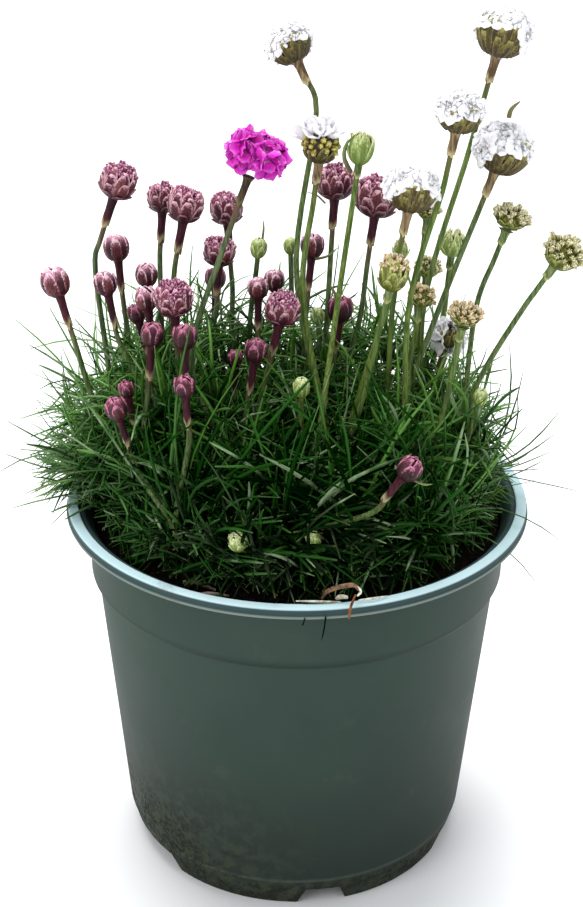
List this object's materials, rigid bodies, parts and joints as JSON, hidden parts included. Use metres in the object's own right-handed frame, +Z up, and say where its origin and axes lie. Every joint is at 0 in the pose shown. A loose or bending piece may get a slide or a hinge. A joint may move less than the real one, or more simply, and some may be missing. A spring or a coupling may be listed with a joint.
{
  "type": "potted sea thrift",
  "caption": "Round plastic grow pot of compost with sea thrift: needle-leaf cushions, slender stems, knobbed pink and green buds, and open white and magenta flower heads.",
  "frame": {"origin": "on the floor plane, in the middle under the pot", "axes": "+Z up, +X to the right seen from the front, -Y towards the front"},
  "size_m": [0.189, 0.1579, 0.2811],
  "materials": {
    "pot_plastic": "satin",
    "compost": "matte",
    "leaf_green": "satin",
    "pink_bracts": "matte",
    "green_bracts": "matte",
    "magenta_petal": "matte",
    "white_petal": "matte",
    "bloom_base": "matte",
    "withered_leaf": "matte"
  },
  "bodies": {
    "root": {"compost": "compost", "dry_leaf": "withered_leaf", "green_bud_01": "green_bracts", "green_bud_02": "green_bracts", "green_bud_03": "green_bracts", "green_bud_04": "green_bracts", "green_bud_05": "green_bracts", "green_bud_06": "green_bracts", "green_bud_07": "green_bracts", "green_bud_08": "green_bracts", "green_bud_09": "green_bracts", "green_bud_10": "green_bracts", "grow_pot": "pot_plastic", "magenta_bloom_01_base": "bloom_base", "magenta_bloom_01_petals": "magenta_petal", "pink_bud_01": "pink_bracts", "pink_bud_02": "pink_bracts", "pink_bud_03": "pink_bracts", "pink_bud_04": "pink_bracts", "pink_bud_05": "pink_bracts", "pink_bud_06": "pink_bracts", "pink_bud_07": "pink_bracts", "pink_bud_08": "pink_bracts", "pink_bud_09": "pink_bracts", "pink_bud_10": "pink_bracts", "pink_bud_11": "pink_bracts", "pink_bud_12": "pink_bracts", "pink_bud_13": "pink_bracts", "pink_bud_14": "pink_bracts", "pink_bud_15": "pink_bracts", "pink_bud_16": "pink_bracts", "pink_bud_17": "pink_bracts", "pink_bud_18": "pink_bracts", "pink_bud_19": "pink_bracts", "pink_bud_20": "pink_bracts", "pink_bud_21": "pink_bracts", "pink_bud_22": "pink_bracts", "pink_bud_23": "pink_bracts", "pink_bud_24": "pink_bracts", "pink_bud_25": "pink_bracts", "pink_bud_26": "pink_bracts", "pink_bud_27": "pink_bracts", "pink_bud_28": "pink_bracts", "pink_thrift_greens": "leaf_green", "white_bloom_01_base": "bloom_base", "white_bloom_01_petals": "white_petal", "white_bloom_02_base": "bloom_base", "white_bloom_02_petals": "white_petal", "white_bloom_03_base": "bloom_base", "white_bloom_03_petals": "white_petal", "white_bloom_04_base": "bloom_base", "white_bloom_04_petals": "white_petal", "white_bloom_05_base": "bloom_base", "white_bloom_05_petals": "white_petal", "white_bloom_06_base": "bloom_base", "white_bloom_06_petals": "white_petal", "white_bloom_07_base": "bloom_base", "white_bloom_07_petals": "white_petal", "white_thrift_greens": "leaf_green"}
  },
  "joints": []
}
